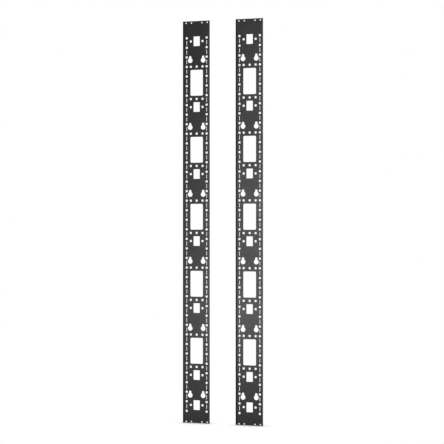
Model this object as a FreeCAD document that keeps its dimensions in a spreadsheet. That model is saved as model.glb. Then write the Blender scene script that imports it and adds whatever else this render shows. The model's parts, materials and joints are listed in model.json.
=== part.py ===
"""Pair of full-height perforated rack rails.

Each rail is one steel sheet, punched flat and then folded along both long sides
into a shallow channel. Two equal rails stand side by side.

Millimetres. +Z runs up the rails, the open side of each channel faces -Y, and the
origin is at the bottom centre of the box round both rails.
"""
import FreeCAD
import Part
import Sketcher
import math
import os
import re

# Driving dimensions: name, value in millimetres or in rows, and what it measures.
SIZES = (
    ("rail_length", 1866.9, "height of a rail, 42 rack units"),
    ("face_width", 129.4, "width over the two flanges"),
    ("flange_depth", 10.0, "depth of the channel over the sheet"),
    ("sheet", 1.5, "thickness of the steel"),
    ("bend_radius", 1.0, "inside radius of the two folds"),
    ("pair_spacing", 257.0, "centre of one rail to centre of the other"),
    ("row_pitch", 44.45, "one rack unit, from row to row of square holes"),
    ("bottom_row_rise", 55.0, "lower end of the rail to the lowest row"),
    ("row_end_clear", 50.0, "least distance from the top row to the upper end"),
    ("column_inset", 15.8, "outside of a flange to the column beside it"),
    ("square_hole", 9.5, "side of a square hole for a cage nut"),
    ("tie_slot_width", 2.7, "width of a cable-tie slot"),
    ("tie_slot_length", 19.0, "length of a cable-tie slot"),
    ("module_rows", 7, "rows after which the middle of the rail repeats"),
    ("module_end_clear", 120.0, "least distance from a repeat to the upper end"),
    ("keyhole_first_row", 2, "row of the lowest keyholes, from row 0"),
    ("keyhole_spacing", 63.5, "centre to centre of a pair of keyholes"),
    ("keyhole_entry", 22.8, "diameter that a mounting button goes in by"),
    ("keyhole_neck", 11.6, "width of the neck that holds the button"),
    ("keyhole_drop", 15.4, "neck's end down to the entry's centre"),
    ("triple_first_row", 8, "row of the lowest upper three-hole line"),
    ("triple_spacing", 28.6, "hole to hole in a three-hole line"),
    ("triple_gap", 150.0, "upper to lower three-hole line"),
    ("large_window_width", 61.0, "width of a large window"),
    ("large_window_height", 119.8, "height of a large window"),
    ("large_window_corner", 5.5, "corner radius of a large window"),
    ("small_window_width", 30.6, "width of a small window"),
    ("small_window_height", 44.8, "height of a small window"),
    ("small_window_drop", 37.65, "lower three-hole line to a small window's centre"),
    ("top_window_drop", 93.85, "upper end to the top small window's centre"),
    ("bottom_window_rise", 83.35, "lower end to the bottom small window's centre"),
    ("end_hole", 6.6, "diameter of a screw hole at the ends, for M6"),
    ("end_outer_inset", 13.2, "outside of a flange to the outer end hole"),
    ("end_inner_spacing", 51.2, "inner end hole to inner end hole"),
    ("top_end_inset", 8.5, "upper end to its row of screw holes"),
    ("bottom_end_inset", 6.0, "lower end to its row of screw holes"),
)

# Places that several features share, worked out from the dimensions.
COLUMN_X = "(face_width / 2 - column_inset)"
KEYHOLE_X = "(keyhole_spacing / 2)"
MODULE = "(module_rows * row_pitch)"
KEYHOLE_Z = "(bottom_row_rise + keyhole_first_row * row_pitch)"
TRIPLE_Z = "(bottom_row_rise + triple_first_row * row_pitch)"
LOWER_TRIPLE_Z = f"({TRIPLE_Z} - triple_gap)"
LARGE_WINDOW_Z = f"({TRIPLE_Z} - triple_gap / 2)"
SMALL_WINDOW_Z = f"({LOWER_TRIPLE_Z} - small_window_drop)"
TOP_WINDOW_Z = "(rail_length - top_window_drop)"
BOTTOM_WINDOW_Z = "bottom_window_rise"

# Counts: each pattern goes on as long as it stays clear of the upper end.
ROWS = "floor((rail_length - bottom_row_rise - row_end_clear) / row_pitch) + 1"
KEYHOLE_ROWS = f"floor((rail_length - module_end_clear - {KEYHOLE_Z}) / {MODULE}) + 1"
MODULES = f"floor((rail_length - module_end_clear - {TRIPLE_Z}) / {MODULE}) + 1"

# Sketcher's numbers for points: start and end of an edge, centre, and the origin.
START = 1
END = 2
CENTRE = 3
ORIGIN = (-1, 1)

SIZE_NAME = re.compile(r"\b(" + "|".join(name for name, value, meaning in SIZES) + r")\b")


def make_sheet(doc):
    """Spreadsheet with one named cell for each driving dimension."""
    sheet = doc.addObject("Spreadsheet::Sheet", "Sizes")
    for row, (name, value, meaning) in enumerate(SIZES, 1):
        sheet.set(f"A{row}", name)
        sheet.set(f"B{row}", str(value))
        sheet.setAlias(f"B{row}", name)
        sheet.set(f"C{row}", meaning)
    doc.recompute()
    return sheet


def sized(formula):
    """The formula with each dimension's name pointed at its cell."""
    return SIZE_NAME.sub(r"Sizes.\1", formula)


def value_of(owner, formula):
    """What the formula comes to now, in millimetres."""
    return float(owner.evalExpression(sized(formula)))


def point(sketch, x, z):
    """Sketch point whose two coordinates are formulas."""
    return FreeCAD.Vector(value_of(sketch, x), value_of(sketch, z), 0)


def bind(sketch, kind, *places, formula):
    """Add a dimension to the sketch and tie it to the spreadsheet."""
    constraint = Sketcher.Constraint(kind, *places, value_of(sketch, formula))
    index = sketch.addConstraint(constraint)
    sketch.setExpression(f"Constraints[{index}]", sized(formula))


def new_sketch(body, name, plane):
    """Empty sketch on one of the body's own origin planes."""
    sketch = body.newObject("Sketcher::SketchObject", f"{name}_sketch")
    support = next(item for item in body.Origin.OriginFeatures if item.Role == plane)
    sketch.AttachmentSupport = [(support, "")]
    sketch.MapMode = "FlatFace"
    return sketch


def add_line(sketch, start, end):
    """Straight edge from point to point."""
    return sketch.addGeometry(Part.LineSegment(start, end), False)


def add_arc(sketch, centre, radius, first, last):
    """Anticlockwise arc, from one angle to the other, in degrees."""
    circle = Part.Circle(centre, FreeCAD.Vector(0, 0, 1), radius)
    arc = Part.ArcOfCircle(circle, math.radians(first), math.radians(last))
    return sketch.addGeometry(arc, False)


def join_round(sketch, kind, edges):
    """Join the end of each edge to the start of the next, all the way round."""
    for edge, following in zip(edges, edges[1:] + edges[:1]):
        sketch.addConstraint(Sketcher.Constraint(kind, edge, END, following, START))


def add_rectangle(sketch, x, z, width, height):
    """Sharp-cornered hole with its centre at x, z."""
    left = f"{x} - {width} / 2"
    right = f"{x} + {width} / 2"
    low = f"{z} - {height} / 2"
    high = f"{z} + {height} / 2"
    corners = [point(sketch, *place) for place in ((left, low), (right, low), (right, high), (left, high))]
    edges = [add_line(sketch, corners[i], corners[(i + 1) % 4]) for i in range(4)]
    join_round(sketch, "Coincident", edges)
    for index, edge in enumerate(edges):
        sketch.addConstraint(Sketcher.Constraint(("Horizontal", "Vertical")[index % 2], edge))
    bind(sketch, "DistanceX", *ORIGIN, edges[0], START, formula=left)
    bind(sketch, "DistanceX", *ORIGIN, edges[1], START, formula=right)
    bind(sketch, "DistanceY", *ORIGIN, edges[0], START, formula=low)
    bind(sketch, "DistanceY", *ORIGIN, edges[2], START, formula=high)


def add_window(sketch, x, z, width, height, corner):
    """Round-cornered window with its centre at x, z."""
    left = f"{x} - {width} / 2"
    right = f"{x} + {width} / 2"
    low = f"{z} - {height} / 2"
    high = f"{z} + {height} / 2"
    inner_left = f"{left} + {corner}"
    inner_right = f"{right} - {corner}"
    inner_low = f"{low} + {corner}"
    inner_high = f"{high} - {corner}"
    radius = value_of(sketch, corner)
    sides = (
        ((inner_left, low), (inner_right, low), (inner_right, inner_low), -90),
        ((right, inner_low), (right, inner_high), (inner_right, inner_high), 0),
        ((inner_right, high), (inner_left, high), (inner_left, inner_high), 90),
        ((left, inner_high), (left, inner_low), (inner_left, inner_low), 180),
    )
    lines = []
    arcs = []
    for start, end, centre, angle in sides:
        lines.append(add_line(sketch, point(sketch, *start), point(sketch, *end)))
        arcs.append(add_arc(sketch, point(sketch, *centre), radius, angle, angle + 90))
    join_round(sketch, "Tangent", [edge for pair in zip(lines, arcs) for edge in pair])
    for index, line in enumerate(lines):
        sketch.addConstraint(Sketcher.Constraint(("Horizontal", "Vertical")[index % 2], line))
    for arc in arcs[1:]:
        sketch.addConstraint(Sketcher.Constraint("Equal", arcs[0], arc))
    bind(sketch, "Radius", arcs[0], formula=corner)
    bind(sketch, "DistanceY", *ORIGIN, lines[0], START, formula=low)
    bind(sketch, "DistanceX", *ORIGIN, lines[1], START, formula=right)
    bind(sketch, "DistanceY", *ORIGIN, lines[2], START, formula=high)
    bind(sketch, "DistanceX", *ORIGIN, lines[3], START, formula=left)


def add_keyhole(sketch, x, z):
    """Keyhole with the round end of its neck at x, z and its entry below."""
    neck = value_of(sketch, "keyhole_neck / 2")
    entry = value_of(sketch, "keyhole_entry / 2")
    top = point(sketch, x, z)
    middle = point(sketch, x, f"{z} - keyhole_drop")
    meeting = math.degrees(math.acos(neck / entry))
    shoulder = middle.y + math.sqrt(entry ** 2 - neck ** 2)
    left_top = FreeCAD.Vector(top.x - neck, top.y, 0)
    left_low = FreeCAD.Vector(top.x - neck, shoulder, 0)
    right_top = FreeCAD.Vector(top.x + neck, top.y, 0)
    right_low = FreeCAD.Vector(top.x + neck, shoulder, 0)
    round_end = add_arc(sketch, top, neck, 0, 180)
    left = add_line(sketch, left_top, left_low)
    bowl = add_arc(sketch, middle, entry, 180 - meeting, 360 + meeting)
    right = add_line(sketch, right_low, right_top)
    sketch.addConstraint(Sketcher.Constraint("Tangent", round_end, END, left, START))
    sketch.addConstraint(Sketcher.Constraint("Coincident", left, END, bowl, START))
    sketch.addConstraint(Sketcher.Constraint("Coincident", bowl, END, right, START))
    sketch.addConstraint(Sketcher.Constraint("Tangent", right, END, round_end, START))
    sketch.addConstraint(Sketcher.Constraint("Vertical", left))
    sketch.addConstraint(Sketcher.Constraint("Vertical", round_end, CENTRE, bowl, CENTRE))
    bind(sketch, "Radius", round_end, formula="keyhole_neck / 2")
    bind(sketch, "Radius", bowl, formula="keyhole_entry / 2")
    bind(sketch, "DistanceX", *ORIGIN, round_end, CENTRE, formula=x)
    bind(sketch, "DistanceY", *ORIGIN, round_end, CENTRE, formula=z)
    bind(sketch, "DistanceY", bowl, CENTRE, round_end, CENTRE, formula="keyhole_drop")


def add_round_hole(sketch, x, z, diameter):
    """Round hole with its centre at x, z."""
    circle = Part.Circle(point(sketch, x, z), FreeCAD.Vector(0, 0, 1), value_of(sketch, diameter) / 2)
    edge = sketch.addGeometry(circle, False)
    bind(sketch, "Diameter", edge, formula=diameter)
    bind(sketch, "DistanceX", *ORIGIN, edge, CENTRE, formula=x)
    bind(sketch, "DistanceY", *ORIGIN, edge, CENTRE, formula=z)


def fold_channel(body):
    """The folded sheet before its holes: a channel section carried up the rail."""
    sketch = new_sketch(body, "section", "XY_Plane")
    side = "face_width / 2"
    inside = "face_width / 2 - sheet"
    bend = "face_width / 2 - sheet - bend_radius"
    fold = "-(sheet + bend_radius)"
    tip = "-flange_depth"
    outer = value_of(sketch, "sheet + bend_radius")
    inner = value_of(sketch, "bend_radius")
    right_centre = point(sketch, bend, fold)
    left_centre = point(sketch, f"-({bend})", fold)

    def at(x, y):
        return point(sketch, x, y)

    front = add_line(sketch, at(f"-({bend})", "-sheet"), at(bend, "-sheet"))
    right_inner_bend = add_arc(sketch, right_centre, inner, 0, 90)
    right_inner = add_line(sketch, at(inside, fold), at(inside, tip))
    right_tip = add_line(sketch, at(inside, tip), at(side, tip))
    right_outer = add_line(sketch, at(side, tip), at(side, fold))
    right_outer_bend = add_arc(sketch, right_centre, outer, 0, 90)
    back = add_line(sketch, at(bend, "0"), at(f"-({bend})", "0"))
    left_outer_bend = add_arc(sketch, left_centre, outer, 90, 180)
    left_outer = add_line(sketch, at(f"-({side})", fold), at(f"-({side})", tip))
    left_tip = add_line(sketch, at(f"-({side})", tip), at(f"-({inside})", tip))
    left_inner = add_line(sketch, at(f"-({inside})", tip), at(f"-({inside})", fold))
    left_inner_bend = add_arc(sketch, left_centre, inner, 90, 180)

    for first, first_end, second, second_end in (
        (front, END, right_inner_bend, END),
        (right_inner_bend, START, right_inner, START),
        (right_outer, END, right_outer_bend, START),
        (right_outer_bend, END, back, START),
        (back, END, left_outer_bend, START),
        (left_outer_bend, END, left_outer, START),
        (left_inner, END, left_inner_bend, END),
        (left_inner_bend, START, front, START),
    ):
        sketch.addConstraint(Sketcher.Constraint("Tangent", first, first_end, second, second_end))
    for first, second in (
        (right_inner, right_tip),
        (right_tip, right_outer),
        (left_outer, left_tip),
        (left_tip, left_inner),
    ):
        sketch.addConstraint(Sketcher.Constraint("Coincident", first, END, second, START))
    for edge in (front, back, right_tip, left_tip):
        sketch.addConstraint(Sketcher.Constraint("Horizontal", edge))
    for edge in (right_inner, right_outer, left_inner, left_outer):
        sketch.addConstraint(Sketcher.Constraint("Vertical", edge))
    for inner_bend, outer_bend in ((right_inner_bend, right_outer_bend), (left_inner_bend, left_outer_bend)):
        sketch.addConstraint(Sketcher.Constraint("Coincident", inner_bend, CENTRE, outer_bend, CENTRE))
    bind(sketch, "DistanceX", *ORIGIN, right_tip, END, formula=side)
    bind(sketch, "DistanceX", *ORIGIN, left_tip, START, formula=f"-({side})")
    bind(sketch, "DistanceY", *ORIGIN, right_tip, END, formula=tip)
    bind(sketch, "DistanceY", *ORIGIN, left_tip, START, formula=tip)
    bind(sketch, "Radius", right_inner_bend, formula="bend_radius")
    bind(sketch, "Radius", left_inner_bend, formula="bend_radius")
    bind(sketch, "DistanceY", *ORIGIN, front, START, formula="-sheet")
    sketch.addConstraint(Sketcher.Constraint("PointOnObject", back, START, -1))

    channel = body.newObject("PartDesign::Pad", "channel")
    channel.Profile = sketch
    channel.setExpression("Length", sized("rail_length"))


def punch(body, sketch):
    """Cut the sketch right through the sheet, towards the open side."""
    cut = body.newObject("PartDesign::Pocket", sketch.Name.replace("sketch", "punch"))
    cut.Profile = sketch
    cut.Type = "ThroughAll"
    cut.Reversed = True
    return cut


def repeat_up(body, cut, spacing, count):
    """Repeat a cut up the rail."""
    pattern = body.newObject("PartDesign::LinearPattern", cut.Name.replace("punch", "pattern"))
    pattern.Originals = [cut]
    pattern.Direction = (cut.Profile[0], ["V_Axis"])
    pattern.Mode = "Spacing"
    pattern.setExpression("Offset", sized(spacing))
    pattern.setExpression("Occurrences", sized(count))
    body.Tip = pattern


def punch_columns(body):
    """Two edge columns: a square hole on each row and a tie slot between rows."""
    holes = new_sketch(body, "column_holes", "XZ_Plane")
    slots = new_sketch(body, "tie_slots", "XZ_Plane")
    for x in (f"-{COLUMN_X}", COLUMN_X):
        add_rectangle(holes, x, "bottom_row_rise", "square_hole", "square_hole")
        add_rectangle(slots, x, "(bottom_row_rise + row_pitch / 2)", "tie_slot_width", "tie_slot_length")
    repeat_up(body, punch(body, holes), "row_pitch", ROWS)
    repeat_up(body, punch(body, slots), "row_pitch", f"{ROWS} - 1")


def punch_keyholes(body):
    """Pairs of keyholes that take the mounting buttons of a power strip."""
    sketch = new_sketch(body, "keyholes", "XZ_Plane")
    for x in (f"-{KEYHOLE_X}", KEYHOLE_X):
        add_keyhole(sketch, x, KEYHOLE_Z)
    repeat_up(body, punch(body, sketch), MODULE, KEYHOLE_ROWS)


def punch_modules(body):
    """The middle's repeat: a large window between two three-hole lines, and a small window."""
    holes = new_sketch(body, "module_holes", "XZ_Plane")
    for z in (TRIPLE_Z, LOWER_TRIPLE_Z):
        for x in ("-triple_spacing", "0", "triple_spacing"):
            add_rectangle(holes, x, z, "square_hole", "square_hole")
    for x in ("-triple_spacing", "triple_spacing"):
        add_rectangle(holes, x, SMALL_WINDOW_Z, "square_hole", "square_hole")
    repeat_up(body, punch(body, holes), MODULE, MODULES)

    windows = new_sketch(body, "module_windows", "XZ_Plane")
    add_window(
        windows, "0", LARGE_WINDOW_Z,
        "large_window_width", "large_window_height", "large_window_corner",
    )
    add_rectangle(windows, "0", SMALL_WINDOW_Z, "small_window_width", "small_window_height")
    repeat_up(body, punch(body, windows), MODULE, MODULES)


def punch_ends(body):
    """Near each end: a small window with a square hole each side, and four screw holes."""
    sketch = new_sketch(body, "ends", "XZ_Plane")
    outer = "(face_width / 2 - end_outer_inset)"
    inner = "(end_inner_spacing / 2)"
    for window_z, screw_z in (
        (TOP_WINDOW_Z, "(rail_length - top_end_inset)"),
        (BOTTOM_WINDOW_Z, "bottom_end_inset"),
    ):
        add_rectangle(sketch, "0", window_z, "small_window_width", "small_window_height")
        for x in ("-triple_spacing", "triple_spacing"):
            add_rectangle(sketch, x, window_z, "square_hole", "square_hole")
        for x in (f"-{outer}", f"-{inner}", inner, outer):
            add_round_hole(sketch, x, screw_z, "end_hole")
    punch(body, sketch)


def make_rail(doc, name):
    """One whole rail: the sheet folded, then its holes, from the few to the many."""
    rail = doc.addObject("PartDesign::Body", name)
    fold_channel(rail)
    punch_ends(rail)
    punch_modules(rail)
    punch_keyholes(rail)
    punch_columns(rail)
    return rail


def make_twin(doc, name, rail):
    """A second rail that takes its shape from the first."""
    twin = doc.addObject("PartDesign::Body", name)
    shape = twin.newObject("PartDesign::FeatureBase", f"{name}_shape")
    shape.BaseFeature = rail
    return twin


def place_rail(rail, side):
    """Set a rail to its side of the middle and centre it in depth."""
    rail.Label = rail.Name
    rail.setExpression("Placement.Base.x", sized(f"{side} * pair_spacing / 2"))
    rail.setExpression("Placement.Base.y", sized("flange_depth / 2"))


def check_document(doc, rails):
    """Stop if an object failed, a cut took nothing away or a rail isn't one sound solid."""
    for item in doc.Objects:
        if "Invalid" in item.State or "Error" in item.State:
            raise RuntimeError(f"{item.Name} failed: {item.State}")
    for rail in rails:
        steps = [item for item in rail.Group if item.isDerivedFrom("PartDesign::Feature")]
        for before, after in zip(steps, steps[1:]):
            if after.Shape.Volume >= before.Shape.Volume:
                raise RuntimeError(f"{after.Name} cuts nothing")
        if rail.Shape.isNull() or not rail.Shape.isValid() or len(rail.Shape.Solids) != 1:
            raise RuntimeError(f"{rail.Label} isn't one sound solid")


def main():
    """Build both rails, check them and write one file for each."""
    doc = FreeCAD.newDocument("rack_rails")
    make_sheet(doc)
    left = make_rail(doc, "left_rail")
    doc.recompute()
    right = make_twin(doc, "right_rail", left)
    place_rail(left, -1)
    place_rail(right, 1)
    doc.recompute()
    rails = (left, right)
    check_document(doc, rails)
    os.makedirs("parts", exist_ok=True)
    for rail in rails:
        rail.Shape.exportStep(f"parts/{rail.Label}.step")
        box = rail.Shape.BoundBox
        print(f"{rail.Label}: {len(rail.Shape.Faces)} faces, {rail.Shape.Volume:.0f} mm3, "
              f"x {box.XMin:.2f} to {box.XMax:.2f}, y {box.YMin:.2f} to {box.YMax:.2f}, "
              f"z {box.ZMin:.2f} to {box.ZMax:.2f}")


main()
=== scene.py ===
# %% [markdown]
# # A pair of punched and folded rack rails
#
# Each rail is one long steel sheet. It was punched while it was flat, folded forward along both
# long sides into a shallow channel, and then powder coated black. Two equal rails stand side by side.
# This lesson gives the two plain solids of the imported model the look of the real thing: softened
# edges, a coat with a fine texture, studio light and a camera.
#
# The first step loads the imported model. Its box is kept: the sizes further down are read from it.

# %% Load the imported rails
import json

import bpy
import numpy as np
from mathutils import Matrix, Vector
from mathutils.geometry import delaunay_2d_cdt


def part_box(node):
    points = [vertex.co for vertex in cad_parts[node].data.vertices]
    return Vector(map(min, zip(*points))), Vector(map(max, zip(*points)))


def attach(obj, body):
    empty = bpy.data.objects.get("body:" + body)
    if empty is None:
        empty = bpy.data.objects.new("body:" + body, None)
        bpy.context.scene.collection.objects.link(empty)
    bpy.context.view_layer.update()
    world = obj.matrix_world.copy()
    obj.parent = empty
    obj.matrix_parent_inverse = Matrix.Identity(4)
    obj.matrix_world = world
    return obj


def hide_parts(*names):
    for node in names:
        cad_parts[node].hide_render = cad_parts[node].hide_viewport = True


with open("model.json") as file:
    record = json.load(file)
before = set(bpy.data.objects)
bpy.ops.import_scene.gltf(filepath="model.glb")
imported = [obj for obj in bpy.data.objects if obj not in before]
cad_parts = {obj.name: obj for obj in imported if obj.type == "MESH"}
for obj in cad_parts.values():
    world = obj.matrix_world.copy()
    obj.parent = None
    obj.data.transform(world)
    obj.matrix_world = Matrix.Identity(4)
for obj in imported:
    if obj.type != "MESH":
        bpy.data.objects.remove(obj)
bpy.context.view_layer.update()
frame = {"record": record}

# %% [markdown]
# ## Sizes
#
# A maker thinks of this part in millimetres, and Blender works in metres, so the rail is worked out in
# millimetres and the finished arrays are multiplied by one factor. Only the floor, the lights and the
# camera are written in metres. The rail's own coordinates are x across the face from the middle, y from
# front to back, and z up from the lower end.
#
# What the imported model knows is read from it, so that the looks can't drift away from the part: the
# outer sizes come from the boxes of the solids, to a hundredth of a millimetre, and the spacing of the
# fixing holes comes from the mounts in its record.

# %% Sizes of the folded sheet, in millimetres
MM = 0.001
RAIL_BOXES = {node: np.round(np.array(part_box(node)) / MM, 2) for node in ("left_rail", "right_rail")}
RAIL_X = {node: box[:, 0].mean() for node, box in RAIL_BOXES.items()}
rail_low, rail_high = RAIL_BOXES["left_rail"]
FACE_WIDTH, CHANNEL_DEPTH, RAIL_LENGTH = rail_high - rail_low
TIP_Y = rail_low[1]
BACK_Y = rail_high[1]
SHEET = 1.5
FRONT_Y = BACK_Y - SHEET
BEND_RADIUS = 1.0
# How far the coat and the tools soften an edge, and how far the coat narrows a hole at each side.
EDGE = 0.3
COAT = 0.1
print(f"a rail is {FACE_WIDTH:.2f} wide, {CHANNEL_DEPTH:.2f} deep and {RAIL_LENGTH:.2f} mm long")
print("middles of the rails:", {node: round(float(x), 2) for node, x in RAIL_X.items()})

# %% Spacing of the fixing holes, in millimetres
mount_dims = {mount["name"]: mount["dims"] for mount in frame["record"]["mounts"]}
cage_nuts = mount_dims["left_cage_nut_holes"]
buttons = mount_dims["left_button_keyholes"]
outer_screws = mount_dims["left_outer_end_screws"]
inner_screws = mount_dims["left_inner_end_screws"]

ROWS = cage_nuts["count"] // 2
PITCH = cage_nuts["spacing_y_mm"]
COLUMN_X = cage_nuts["spacing_x_mm"] / 2
KEYHOLE_ROWS = buttons["count"] // 2
MODULE = buttons["spacing_y_mm"]
KEYHOLE_X = buttons["spacing_x_mm"] / 2
KEYHOLE_NECK = 2 * buttons["hole_r_mm"]
SCREW_X = np.array([outer_screws["spacing_x_mm"], inner_screws["spacing_x_mm"]]) / 2
SCREW_HOLE = 2 * outer_screws["hole_r_mm"]
print(f"{ROWS} rows, {PITCH} mm apart; {KEYHOLE_ROWS} pairs of keyholes, {MODULE} mm apart")

# %% [markdown]
# ## Outlines of the holes
#
# The sheet is punched with five shapes: square holes for cage nuts, slots for cable ties, keyholes
# for the buttons of a power strip, windows for cables, and round screw holes at the ends. Each
# outline is a loop of points with a normal that points from the hole into the sheet. A loop with its
# normals is all that is needed later, because the soft edge of a hole is a small profile carried
# along it.
#
# Real punches have slightly rounded corners, and the coat rounds them more, so even a square hole
# gets a small corner radius with three points to a corner.

# %% Rounded rectangle
def arc_normals(first, last, count):
    """Unit vectors whose angle goes evenly from first to last, in degrees."""
    angle = np.radians(np.linspace(first, last, count))
    return np.stack([np.cos(angle), np.sin(angle)], axis=-1)


def rounded_rectangle(width, height, radius, per_corner):
    """Points and normals, anticlockwise: each corner is a quarter circle of the radius,
    set round the corner of a smaller rectangle."""
    quarter = np.arange(4)[:, None]
    angle = np.radians(90 * quarter + np.linspace(0, 90, per_corner))
    normals = np.stack([np.cos(angle), np.sin(angle)], axis=-1)
    signs = np.array([[1, 1], [-1, 1], [-1, -1], [1, -1]])
    centres = signs * (np.array([width, height]) / 2 - radius)
    points = centres[:, None, :] + radius * normals
    return points.reshape(-1, 2), normals.reshape(-1, 2)


SQUARE_HOLE = 9.5
TIE_SLOT = (2.7, 19.0)
LARGE_WINDOW = (61.0, 119.8)
SMALL_WINDOW = (30.6, 44.8)
PUNCH_CORNER = 0.6
SMALL_WINDOW_CORNER = 0.8
LARGE_WINDOW_CORNER = 5.5
OUTLINES = {
    "square": rounded_rectangle(SQUARE_HOLE, SQUARE_HOLE, PUNCH_CORNER, per_corner=3),
    "tie_slot": rounded_rectangle(*TIE_SLOT, PUNCH_CORNER, per_corner=3),
    "large_window": rounded_rectangle(*LARGE_WINDOW, LARGE_WINDOW_CORNER, per_corner=7),
    "small_window": rounded_rectangle(*SMALL_WINDOW, SMALL_WINDOW_CORNER, per_corner=3),
}
print("points in a square hole's outline:", len(OUTLINES["square"][0]))

# %% Keyhole and screw hole
KEYHOLE_ENTRY = 22.8
KEYHOLE_DROP = 15.4


def keyhole(entry, neck, drop, entry_points, neck_points):
    """A half circle at the top of the neck, then, a drop further down, the part of the entry's circle
    that lies outside the neck. Where they meet, the normal is halfway between the two."""
    meeting = np.degrees(np.arccos(neck / entry))
    bowl_normals = arc_normals(180 - meeting, 360 + meeting, entry_points)
    bowl = bowl_normals * entry / 2 - [0, drop]
    end_normals = arc_normals(0, 180, neck_points)
    end = end_normals * neck / 2
    bowl_normals[[0, -1]] += [[-1, 0], [1, 0]]
    bowl_normals /= np.linalg.norm(bowl_normals, axis=1, keepdims=True)
    return np.concatenate([end, bowl]), np.concatenate([end_normals, bowl_normals])


def round_hole(diameter, count):
    """A full circle: the radius times the normal."""
    normals = arc_normals(0, 360, count + 1)[:-1]
    return normals * diameter / 2, normals


OUTLINES["keyhole"] = keyhole(
    KEYHOLE_ENTRY, KEYHOLE_NECK, KEYHOLE_DROP, entry_points=41, neck_points=17,
)
OUTLINES["screw_hole"] = round_hole(SCREW_HOLE, count=24)
print("points in a keyhole's outline:", len(OUTLINES["keyhole"][0]))

# %% [markdown]
# ## Where the holes are
#
# Two edge columns repeat on every rack unit of 44.45 mm, with a tie slot halfway between the square
# holes. The middle repeats on every seven units: a pair of keyholes, and a large window between two
# lines of three square holes with a small window below. It lies between two pairs of keyholes, so
# there is one repeat fewer than there are pairs. Every set of places is the table of all pairs of some
# x with some z, which numpy's meshgrid gives in one call.

# %% Places of the holes
# A rise is measured up from the lower end, and a drop down from the upper end or from the line above.
# Rows are counted from 0.
FIRST_ROW = 55.0
KEYHOLE_ROW = 2
LINE_ROW = 8
LINE_GAP = 150.0
SIDE_X = 28.6
SMALL_WINDOW_DROP = 37.65
BOTTOM_WINDOW_RISE = 83.35
TOP_WINDOW_DROP = 93.85
BOTTOM_SCREW_RISE = 6.0
TOP_SCREW_DROP = 8.5


def places(x, z):
    """Every x paired with every z."""
    return np.stack(np.meshgrid(x, z), axis=-1).reshape(-1, 2)


def both_sides(x):
    """The same distances to the left and to the right of the middle."""
    return np.concatenate([-np.atleast_1d(x), np.atleast_1d(x)])


rows = FIRST_ROW + PITCH * np.arange(ROWS)
keyhole_z = rows[KEYHOLE_ROW] + MODULE * np.arange(KEYHOLE_ROWS)
upper_line = rows[LINE_ROW] + MODULE * np.arange(KEYHOLE_ROWS - 1)
lower_line = upper_line - LINE_GAP
line_z = np.concatenate([upper_line, lower_line])
large_window_z = upper_line - LINE_GAP / 2
end_window_z = np.array([BOTTOM_WINDOW_RISE, RAIL_LENGTH - TOP_WINDOW_DROP])
small_window_z = np.concatenate([lower_line - SMALL_WINDOW_DROP, end_window_z])
screw_z = np.array([BOTTOM_SCREW_RISE, RAIL_LENGTH - TOP_SCREW_DROP])

CENTRES = {
    "square": np.concatenate([
        places(both_sides(COLUMN_X), rows),
        places([-SIDE_X, 0.0, SIDE_X], line_z),
        places(both_sides(SIDE_X), small_window_z),
    ]),
    "tie_slot": places(both_sides(COLUMN_X), rows[:-1] + PITCH / 2),
    "large_window": places([0.0], large_window_z),
    "small_window": places([0.0], small_window_z),
    "keyhole": places(both_sides(KEYHOLE_X), keyhole_z),
    "screw_hole": places(both_sides(SCREW_X), screw_z),
}
print("holes in a rail:", {kind: len(centre) for kind, centre in CENTRES.items()})

# %% [markdown]
# ## The folded section
#
# The folded sheet has the same section all the way up, so it is a profile carried along a straight
# path. The front of the sheet is one chain of points, from the tip of the left flange round both
# bends to the tip of the right one, and the back is a second chain with a partner for every point of
# the first. Front and back together make the closed section. Four stations along the path are
# enough: at the two ends the section is drawn in a little, which gives the cut ends their soft edge.

# %% Section and its stations
BEND_POINTS = 7
BEND_X = FACE_WIDTH / 2 - SHEET - BEND_RADIUS
BEND_Y = FRONT_Y - BEND_RADIUS


def half_chain(radius, turned):
    """Right half of one side of the sheet: a quarter circle of the radius round the bend's centre,
    then straight forward to the flange's tip, where the edge is cut off at 45 degrees.
    The normals turn round on the inside of the bend."""
    normals = arc_normals(90, 0, BEND_POINTS)
    bend = [BEND_X, BEND_Y] + radius * normals
    side = BEND_X + radius
    tip = np.array([[side, TIP_Y + EDGE], [side - turned * EDGE, TIP_Y]])
    tip_normals = np.array([[turned, 0], [0, -1]])
    return np.concatenate([bend, tip]), np.concatenate([turned * normals, tip_normals])


def whole_chain(radius, turned):
    """The half chain and its mirror image, from the left tip to the right tip."""
    points, normals = half_chain(radius, turned)
    mirror = np.array([-1, 1])
    return (
        np.concatenate([points[::-1] * mirror, points]),
        np.concatenate([normals[::-1] * mirror, normals]),
    )


front, front_normals = whole_chain(BEND_RADIUS, -1)
back, back_normals = whole_chain(BEND_RADIUS + SHEET, 1)
section = np.concatenate([front, back[::-1]])
section_normals = np.concatenate([front_normals, back_normals[::-1]])
CHAIN = len(front)
AROUND = len(section)
# The cut ends are drawn in by a little less than the edge, so that no two points meet.
END_INSET = 0.6 * EDGE
stations = np.array([0.0, EDGE, RAIL_LENGTH - EDGE, RAIL_LENGTH])
SPANS = len(stations) - 1
inset = np.array([END_INSET, 0.0, 0.0, END_INSET])
sheet_xy = section - inset[:, None, None] * section_normals
sheet_z = np.broadcast_to(stations[:, None, None], (len(stations), AROUND, 1))
sheet_points = np.concatenate([sheet_xy, sheet_z], axis=-1).reshape(-1, 3)
sheet_normals = np.concatenate([
    np.broadcast_to([0.0, 0.0, -1.0], (AROUND, 3)),
    np.tile(np.pad(section_normals, ((0, 0), (0, 1))), (2, 1)),
    np.broadcast_to([0.0, 0.0, 1.0], (AROUND, 3)),
])
print("points in the section:", AROUND, "and in the folded sheet:", len(sheet_points))

# %% [markdown]
# The faces of the carried section are quads between neighbouring points and neighbouring stations.
# The two wide quads of the flat web are left out, because that is where the holes are. The cut ends
# are closed by quads from the front chain to the back chain.

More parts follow.
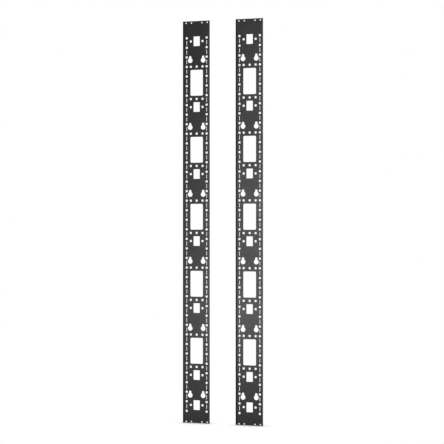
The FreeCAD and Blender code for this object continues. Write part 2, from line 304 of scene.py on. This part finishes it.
# %% Faces of the folded sheet
around = np.arange(AROUND)
beyond = (around + 1) % AROUND
low_station = np.arange(SPANS)[:, None] * AROUND
carried = np.stack([
    low_station + around,
    low_station + beyond,
    low_station + AROUND + beyond,
    low_station + AROUND + around,
], axis=-1)
FRONT_LEFT = CHAIN // 2 - 1
BACK_RIGHT = CHAIN + CHAIN // 2 - 1
is_web = np.zeros((SPANS, AROUND), bool)
is_web[1, [FRONT_LEFT, BACK_RIGHT]] = True
# The soft edges are the first and the last span, and the cut corners of the tips.
is_soft = np.zeros((SPANS, AROUND), bool)
is_soft[[0, -1]] = True
is_soft[1, [0, CHAIN - 2, CHAIN, AROUND - 2]] = True
carried_faces = carried[~is_web]
carried_soft = is_soft[~is_web]

step = np.arange(CHAIN - 1)
opposite = AROUND - 1 - step
bottom_cap = np.stack([step + 1, step, opposite, opposite - 1], axis=-1)
top_cap = SPANS * AROUND + bottom_cap[:, ::-1]
sheet_faces = np.concatenate([carried_faces, bottom_cap, top_cap])
sheet_soft = np.concatenate([carried_soft, np.zeros(2 * len(bottom_cap), bool)])
print("faces of the folded sheet:", len(sheet_faces))

# %% [markdown]
# ## The rims of the holes
#
# A punched edge is never sharp under a coat of powder. Each rim is a profile of four points, the
# front face, the start of the wall, the end of the wall and the back face, carried round the outline.
# The coat has a thickness of its own, so the wall stands a little inside the punched outline.
# All holes of one kind are worked out together: the outline, the profile and the list of centres
# are three axes of one array.

# %% Rims
# How far each point of the profile is set out from the outline, and its place from front to back.
RIM_OUT = np.array([EDGE, 0.0, 0.0, EDGE]) - COAT
RIM_Y = np.array([FRONT_Y, FRONT_Y + EDGE, BACK_Y - EDGE, BACK_Y])
RIM_RINGS = len(RIM_OUT)


def rims(kind):
    """Points, normals and faces of all rims of a kind. Point = centre + outline + out * normal,
    at the profile's y. The normals are the sheet's own on its two faces and the wall's in the hole."""
    outline, outward = OUTLINES[kind]
    centres = CENTRES[kind]
    ring = outline + RIM_OUT[:, None, None] * outward
    flat = centres[:, None, None, :] + ring
    count = len(outline)
    shape = (len(centres), RIM_RINGS, count)
    y = np.broadcast_to(RIM_Y[:, None], shape)
    points = np.stack([flat[..., 0], y, flat[..., 1]], axis=-1)
    wall = np.stack([-outward[:, 0], np.zeros(count), -outward[:, 1]], axis=-1)
    face = np.broadcast_to([0.0, 1.0, 0.0], (count, 3))
    normals = np.broadcast_to(np.stack([-face, wall, wall, face]), points.shape)
    index = np.arange(np.prod(shape)).reshape(shape)
    following = np.roll(index, -1, axis=2)
    faces = np.stack([
        index[:, :-1], following[:, :-1], following[:, 1:], index[:, 1:],
    ], axis=-1)
    soft = np.broadcast_to(np.array([True, False, True])[:, None], faces.shape[:-1])
    return {
        "points": points.reshape(-1, 3),
        "normals": normals.reshape(-1, 3),
        "faces": faces.reshape(-1, 4),
        "soft": soft.reshape(-1),
        "front": index[:, 0],
        "back": index[:, -1],
    }


RIMS = {kind: rims(kind) for kind in OUTLINES}
print("faces of a square hole's rim:", len(RIMS["square"]["faces"]) // len(CENTRES["square"]))

# %% [markdown]
# ## The flat web
#
# What is left of the face between some two hundred holes isn't a grid and isn't a carried profile.
# It could be cut out with boolean modifiers, which is slow and leaves ragged faces. A constrained
# triangulation is cleaner: it takes the border and all rims as loops and fills the space between them
# with triangles that use exactly the points of the loops. The back of the web uses the same
# triangles, turned round.

# %% Triangulate the web once
web_front = [AROUND + FRONT_LEFT, AROUND + FRONT_LEFT + 1]
web_front += [2 * AROUND + FRONT_LEFT + 1, 2 * AROUND + FRONT_LEFT]
web_back = [AROUND + BACK_RIGHT + 1, AROUND + BACK_RIGHT]
web_back += [2 * AROUND + BACK_RIGHT, 2 * AROUND + BACK_RIGHT + 1]

offsets = np.cumsum([len(sheet_points)] + [len(rim["points"]) for rim in RIMS.values()])
front_loops = [np.array([web_front])]
back_loops = [np.array([web_back])]
for offset, rim in zip(offsets, RIMS.values()):
    front_loops.append(rim["front"] + offset)
    back_loops.append(rim["back"] + offset)

all_points = np.concatenate([sheet_points] + [rim["points"] for rim in RIMS.values()])
all_normals = np.concatenate([sheet_normals] + [rim["normals"] for rim in RIMS.values()])
front_index = np.concatenate([loops.ravel() for loops in front_loops])
back_index = np.concatenate([loops.ravel() for loops in back_loops])
# The same loops, numbered in the order in which their points are handed over.
sizes = np.concatenate([np.full(len(loops), loops.shape[1]) for loops in front_loops])
loop_starts = np.cumsum(sizes)[:-1]
loops = [loop.tolist() for loop in np.split(np.arange(len(front_index)), loop_starts)]

flat_points = all_points[front_index][:, [0, 2]]
TRIANGLES_INSIDE = 1
SAME_POINT = 1e-5
_, _, made_faces, made_from, _, owners = delaunay_2d_cdt(
    flat_points.tolist(), [], loops, TRIANGLES_INSIDE, SAME_POINT, True,
)
# A triangle of the web lies inside the border alone, which is loop 0. One in a hole lies in two loops.
in_web = np.array([owner == [0] for owner in owners])
given = np.array(made_from)[:, 0]
triangles = given[np.array(made_faces)[in_web]]
web_faces = np.concatenate([front_index[triangles], back_index[triangles][:, ::-1]])
print("triangles on each side of the web:", len(triangles))

# %% [markdown]
# ## The finished rail
#
# All arrays now go into one mesh for each rail. The normals that came with the profiles are stored as
# custom normals: on the flat faces they are straight, and across a soft edge they turn, so the narrow
# edge catches the light like a rounded one with only one row of faces. One number on each face says
# whether it belongs to a soft edge. The coat will use it, because powder is thinner there.

# %% Build both rails
quads = [sheet_faces] + [rim["faces"] + offset for offset, rim in zip(offsets, RIMS.values())]
quads = np.concatenate(quads)
soft = np.concatenate([sheet_soft] + [rim["soft"] for rim in RIMS.values()])
soft = np.concatenate([soft, np.zeros(len(web_faces), bool)]).astype(np.float32)
faces = quads.tolist() + web_faces.tolist()


def build_rail(name, middle):
    """Mesh object of one rail, with its place in its mesh."""
    mesh = bpy.data.meshes.new(name)
    points = (all_points + [middle, 0.0, 0.0]) * MM
    mesh.from_pydata(points.tolist(), [], faces)
    mesh.attributes.new("soft_edge", "FLOAT", "FACE").data.foreach_set("value", soft)
    mesh.shade_smooth()
    mesh.normals_split_custom_set_from_vertices(all_normals.tolist())
    rail = bpy.data.objects.new(name, mesh)
    bpy.context.scene.collection.objects.link(rail)
    return rail


rails = []
for node, middle in RAIL_X.items():
    rail = build_rail(node.replace("rail", "coated_rail"), middle)
    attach(rail, "root")
    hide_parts(node)
    rails.append(rail)
    repaired = rail.data.validate(verbose=True)
    print(rail.name, "has", len(rail.data.polygons), "faces; repairs needed:", repaired)

# %% [markdown]
# ## Helpers for shader nodes
#
# The coat, the floor and the world are all trees of nodes. A few short helpers keep them readable:
# each adds one node, sets it up, links what comes in and hands back the node or what goes out of it.

# %% Node helpers and a new material
def add_node(tree, kind, inputs=None, **settings):
    """New node. Its inputs are numbers and colours to set, or outputs of other nodes to link."""
    node = tree.nodes.new(kind)
    for name, value in settings.items():
        setattr(node, name, value)
    for socket, value in (inputs or {}).items():
        if isinstance(value, bpy.types.NodeSocket):
            tree.links.new(value, node.inputs[socket])
        else:
            node.inputs[socket].default_value = value
    return node


def remap(tree, value, low, high, to_low, to_high, curve="LINEAR"):
    """From one range to another, along a straight line or a smooth step, held at its ends."""
    inputs = {"Value": value, "From Min": low, "From Max": high, "To Min": to_low, "To Max": to_high}
    return add_node(tree, "ShaderNodeMapRange", inputs, interpolation_type=curve).outputs["Result"]


def combine(tree, operation, first, second):
    """One value from two, by the operation that is named."""
    return add_node(tree, "ShaderNodeMath", {0: first, 1: second}, operation=operation).outputs[0]


def mix_colours(tree, factor, first, second):
    """Colour between two colours: the first at factor 0, the second at factor 1."""
    inputs = {0: factor, 6: first, 7: second}
    return add_node(tree, "ShaderNodeMix", inputs, data_type="RGBA").outputs[2]


coat = bpy.data.materials.new("black_powder_coat")
coat.use_nodes = True
coat_tree = coat.node_tree
print("a new material starts with:", [node.name for node in coat_tree.nodes])

# %% [markdown]
# ## Black powder coat
#
# Powder coat is a thick plastic skin, baked on. Up close it has an orange peel: shallow waves of a
# millimetre or so, with finer grains between. It isn't an even black either: the tone is mottled in
# spots of about a centimetre, and the gloss drifts slowly along the rail. All of these are noise
# textures on Object coordinates, so they stay put on the steel. The soft edges carry less powder, so
# they are a little lighter, in patches.

# %% Textures of the coat
coordinates = add_node(coat_tree, "ShaderNodeTexCoord")


def add_noise(waves_per_metre, detail, roughness):
    """Noise on Object coordinates, as fine as the number of waves in a metre."""
    inputs = {"Vector": coordinates.outputs["Object"], "Scale": waves_per_metre}
    inputs.update({"Detail": detail, "Roughness": roughness})
    return add_node(coat_tree, "ShaderNodeTexNoise", inputs).outputs["Fac"]


drift = add_noise(9.0, detail=3.0, roughness=0.55)
patches = add_noise(45.0, detail=3.0, roughness=0.6)
mottle = add_noise(110.0, detail=2.0, roughness=0.5)
peel = add_noise(620.0, detail=1.0, roughness=0.4)
grain = add_noise(2600.0, detail=2.0, roughness=0.5)
edge_mark = add_node(coat_tree, "ShaderNodeAttribute", attribute_name="soft_edge")
thin_powder = remap(coat_tree, patches, 0.4, 0.65, 0.25, 1.0)
worn = combine(coat_tree, "MULTIPLY", edge_mark.outputs["Fac"], thin_powder)
print("textures of the coat:", sum(node.type == "TEX_NOISE" for node in coat_tree.nodes))

# %% Colour, gloss and relief of the coat
COAT_BLACK = (0.026, 0.026, 0.0265, 1.0)
COAT_PALE = (0.034, 0.034, 0.0345, 1.0)
EDGE_BLACK = (0.06, 0.06, 0.061, 1.0)
shader = coat_tree.nodes["Principled BSDF"]

tone = mix_colours(coat_tree, remap(coat_tree, mottle, 0.3, 0.7, 0.0, 1.0), COAT_BLACK, COAT_PALE)
speckled = mix_colours(coat_tree, remap(coat_tree, grain, 0.55, 0.75, 0.0, 0.5), tone, EDGE_BLACK)
coat_tree.links.new(mix_colours(coat_tree, worn, speckled, EDGE_BLACK), shader.inputs["Base Color"])
coat_tree.links.new(remap(coat_tree, drift, 0.3, 0.7, 0.41, 0.47), shader.inputs["Roughness"])
shader.inputs["Specular IOR Level"].default_value = 0.45

waves = add_node(coat_tree, "ShaderNodeBump", {"Strength": 0.35, "Distance": 0.0002, "Height": peel})
relief = {"Strength": 0.25, "Distance": 0.00006, "Height": grain, "Normal": waves.outputs["Normal"]}
grains = add_node(coat_tree, "ShaderNodeBump", relief)
coat_tree.links.new(grains.outputs["Normal"], shader.inputs["Normal"])
for rail in rails:
    rail.data.materials.append(coat)
print("nodes in the coat:", len(coat_tree.nodes))

# %% [markdown]
# ## Floor and background
#
# The photograph has a plain white background without a horizon. The floor is a wide disc that shows
# white to the camera and, behind the rails, to reflections. So that the rails stand on something, the
# white is darkened where they shut out the light close to their feet: the ambient occlusion node
# measures that for every point of the floor. For all other rays the floor is plain paint.

# %% Floor
WHITE = (1.0, 1.0, 1.0, 1.0)
FLOOR_RADIUS = 14.0
FLOOR_POINTS = 96
rim_xy = FLOOR_RADIUS * arc_normals(0, 360, FLOOR_POINTS + 1)[:-1]
floor_points = np.pad(rim_xy, ((0, 0), (0, 1)))
floor_mesh = bpy.data.meshes.new("floor")
floor_mesh.from_pydata(floor_points.tolist(), [], [list(range(FLOOR_POINTS))])
floor = bpy.data.objects.new("floor", floor_mesh)
bpy.context.scene.collection.objects.link(floor)
floor_paint = bpy.data.materials.new("floor_paint")
floor_paint.use_nodes = True
floor_mesh.materials.append(floor_paint)
print("floor radius in metres:", FLOOR_RADIUS)


# %% What counts as background
BEHIND = 0.6


def seen_as_background(tree, place):
    """1 for the camera, and 0 to 1 for reflections the further the place lies behind the rails;
    0 for the light that falls on the rails."""
    axes = add_node(tree, "ShaderNodeSeparateXYZ", {0: place})
    behind = remap(tree, axes.outputs["Y"], 0.0, BEHIND, 0.0, 1.0, "SMOOTHSTEP")
    ray = add_node(tree, "ShaderNodeLightPath").outputs
    mirrored = combine(tree, "MAXIMUM", ray["Is Glossy Ray"], ray["Is Transmission Ray"])
    mirrored = combine(tree, "MULTIPLY", mirrored, behind)
    return combine(tree, "MAXIMUM", mirrored, ray["Is Camera Ray"])


print("reflections turn white over the first", BEHIND, "metres behind the rails")

# %% Floor paint
SHADOW_REACH = 0.06
FLOOR_GREY = (0.85, 0.85, 0.85, 1.0)
floor_tree = floor_paint.node_tree
floor_tree.nodes.clear()
paint = add_node(floor_tree, "ShaderNodeBsdfDiffuse", {"Color": FLOOR_GREY})
shadow = add_node(floor_tree, "ShaderNodeAmbientOcclusion", {"Color": WHITE, "Distance": SHADOW_REACH})
glow = add_node(floor_tree, "ShaderNodeEmission", {"Color": shadow.outputs["Color"]})
spot = add_node(floor_tree, "ShaderNodeTexCoord").outputs["Object"]
layers = {0: seen_as_background(floor_tree, spot), 1: paint.outputs[0], 2: glow.outputs[0]}
blend = add_node(floor_tree, "ShaderNodeMixShader", layers)
add_node(floor_tree, "ShaderNodeOutputMaterial", {"Surface": blend.outputs[0]})
print("reach of the shadow at the feet in metres:", SHADOW_REACH)

# %% [markdown]
# ## World and lights
#
# A black rail shows mainly what it reflects. In the photograph the faces are brightest a little
# below the middle and darker towards both ends, and the insides of the flanges are nearly black. So
# the studio is a dim room in front of the rails and a white backdrop behind them, and three soft
# boxes in front give the faces their broad, slanting sheen. Two more, behind and to the left, light
# what the camera can't see, for whoever walks round the rails.

# %% World
AMBIENT = 0.25
world = bpy.data.worlds.new("studio")
bpy.context.scene.world = world
world.use_nodes = True
sky_tree = world.node_tree
sky_tree.nodes.clear()
room = add_node(sky_tree, "ShaderNodeBackground", {"Strength": AMBIENT})
backdrop = add_node(sky_tree, "ShaderNodeBackground", {"Color": WHITE})
direction = add_node(sky_tree, "ShaderNodeTexCoord").outputs["Generated"]
layers = {0: seen_as_background(sky_tree, direction), 1: room.outputs[0], 2: backdrop.outputs[0]}
blend = add_node(sky_tree, "ShaderNodeMixShader", layers)
add_node(sky_tree, "ShaderNodeOutputWorld", {"Surface": blend.outputs[0]})
print("ambient light:", AMBIENT)


# %% Lights
def add_softbox(name, place, target, size, power):
    """Square area light at a place, turned to a target and unseen by the camera, in metres and watts."""
    lamp = bpy.data.lights.new(name, "AREA")
    lamp.size = size
    lamp.energy = power
    box = bpy.data.objects.new(name, lamp)
    box.location = place
    box.rotation_euler = (Vector(target) - Vector(place)).to_track_quat("-Z", "Y").to_euler()
    box.visible_camera = False
    bpy.context.scene.collection.objects.link(box)


add_softbox("low_softbox", (-0.1, -0.7, 0.45), (0.05, 0.0, 0.45), size=0.45, power=2.1)
add_softbox("middle_softbox", (-0.1, -1.2, 1.0), (0.05, 0.0, 1.0), size=0.45, power=4.1)
add_softbox("upper_softbox", (0.1, -1.2, 1.7), (0.05, 0.0, 1.7), size=0.45, power=3.4)
add_softbox("back_softbox", (-1.0, 2.6, 1.3), (0.0, 0.0, 0.9), size=1.6, power=40.0)
add_softbox("left_softbox", (-2.6, 0.6, 1.2), (0.0, 0.0, 0.9), size=1.2, power=12.0)

# %% [markdown]
# ## Camera
#
# The holes are all on one known grid, so their places in the photograph give the camera: level, at
# half the rails' height, some 18 degrees to the right of the face, from about six and a half metres.

# %% Camera
IMAGE_WIDTH = 444
FOCAL_PIXELS = 1419.6
SENSOR = 36.0
CAMERA_ANGLE = np.radians(18.0)
CAMERA_DISTANCE = 6.55
AIM = np.array([-0.0035, 0.0, 0.9336])
away = np.array([np.sin(CAMERA_ANGLE), -np.cos(CAMERA_ANGLE), 0.0])
eye = bpy.data.cameras.new("camera")
eye.sensor_width = SENSOR
eye.lens = FOCAL_PIXELS / IMAGE_WIDTH * SENSOR
eye.clip_end = 100.0
camera = bpy.data.objects.new("camera", eye)
camera.location = AIM + CAMERA_DISTANCE * away
camera.rotation_euler = Vector(-away).to_track_quat("-Z", "Y").to_euler()
bpy.context.scene.collection.objects.link(camera)
bpy.context.scene.camera = camera
bpy.context.scene.view_settings.view_transform = "Standard"
print("lens in millimetres:", round(eye.lens, 1))
